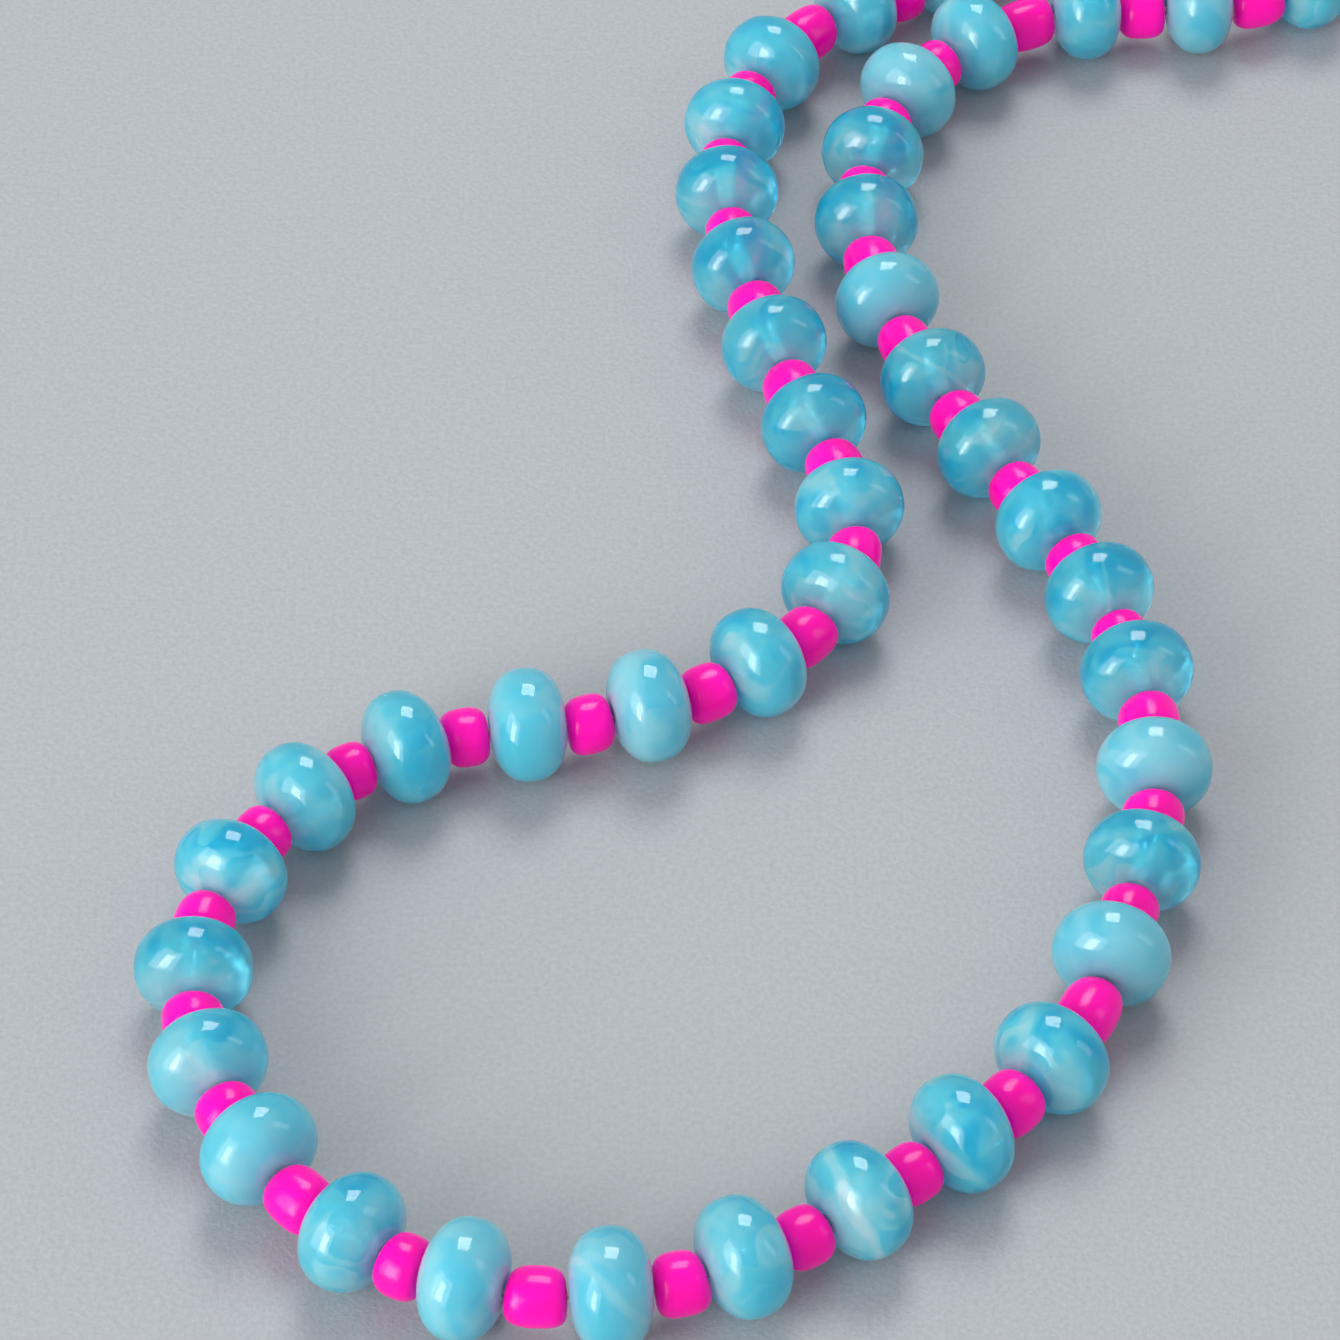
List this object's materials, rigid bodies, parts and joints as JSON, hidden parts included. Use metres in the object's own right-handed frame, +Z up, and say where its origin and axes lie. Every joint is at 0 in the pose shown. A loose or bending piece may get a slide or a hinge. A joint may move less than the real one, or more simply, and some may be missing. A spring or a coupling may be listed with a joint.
{
  "type": "beaded necklace",
  "caption": "Necklace lying flat: turquoise rondelle beads and small pink barrel beads in turn on one clear thread, closed in a loop by a plain barrel clasp.",
  "frame": {"origin": "on the surface that the necklace lies on, under the middle of its box", "axes": "+Z up from the surface; +Y along the necklace's long way, from its wide loop to its clasp; +X to the right as seen from the wide loop's end"},
  "size_m": [0.124, 0.1958, 0.01],
  "materials": {
    "turquoise_glass": "glossy, milky, with pale wisps",
    "pink_glass": "opaque, satin gloss",
    "silver_metal": "satin",
    "clear_nylon": "clear, smooth"
  },
  "bodies": {
    "root": {"turquoise_bead_01": "turquoise_glass", "turquoise_bead_02": "turquoise_glass", "turquoise_bead_03": "turquoise_glass", "turquoise_bead_04": "turquoise_glass", "turquoise_bead_05": "turquoise_glass", "turquoise_bead_06": "turquoise_glass", "turquoise_bead_07": "turquoise_glass", "turquoise_bead_08": "turquoise_glass", "turquoise_bead_09": "turquoise_glass", "turquoise_bead_10": "turquoise_glass", "turquoise_bead_11": "turquoise_glass", "turquoise_bead_12": "turquoise_glass", "turquoise_bead_13": "turquoise_glass", "turquoise_bead_14": "turquoise_glass", "turquoise_bead_15": "turquoise_glass", "turquoise_bead_16": "turquoise_glass", "turquoise_bead_17": "turquoise_glass", "turquoise_bead_18": "turquoise_glass", "turquoise_bead_19": "turquoise_glass", "turquoise_bead_20": "turquoise_glass", "turquoise_bead_21": "turquoise_glass", "turquoise_bead_22": "turquoise_glass", "turquoise_bead_23": "turquoise_glass", "turquoise_bead_24": "turquoise_glass", "turquoise_bead_25": "turquoise_glass", "turquoise_bead_26": "turquoise_glass", "turquoise_bead_27": "turquoise_glass", "turquoise_bead_28": "turquoise_glass", "turquoise_bead_29": "turquoise_glass", "turquoise_bead_30": "turquoise_glass", "turquoise_bead_31": "turquoise_glass", "turquoise_bead_32": "turquoise_glass", "turquoise_bead_33": "turquoise_glass", "turquoise_bead_34": "turquoise_glass", "turquoise_bead_35": "turquoise_glass", "turquoise_bead_36": "turquoise_glass", "turquoise_bead_37": "turquoise_glass", "turquoise_bead_38": "turquoise_glass", "turquoise_bead_39": "turquoise_glass", "turquoise_bead_40": "turquoise_glass", "turquoise_bead_41": "turquoise_glass", "turquoise_bead_42": "turquoise_glass", "turquoise_bead_43": "turquoise_glass", "turquoise_bead_44": "turquoise_glass", "turquoise_bead_45": "turquoise_glass", "turquoise_bead_46": "turquoise_glass", "spacers_on_thread": "pink_glass", "clasp": "silver_metal"}
  },
  "joints": []
}
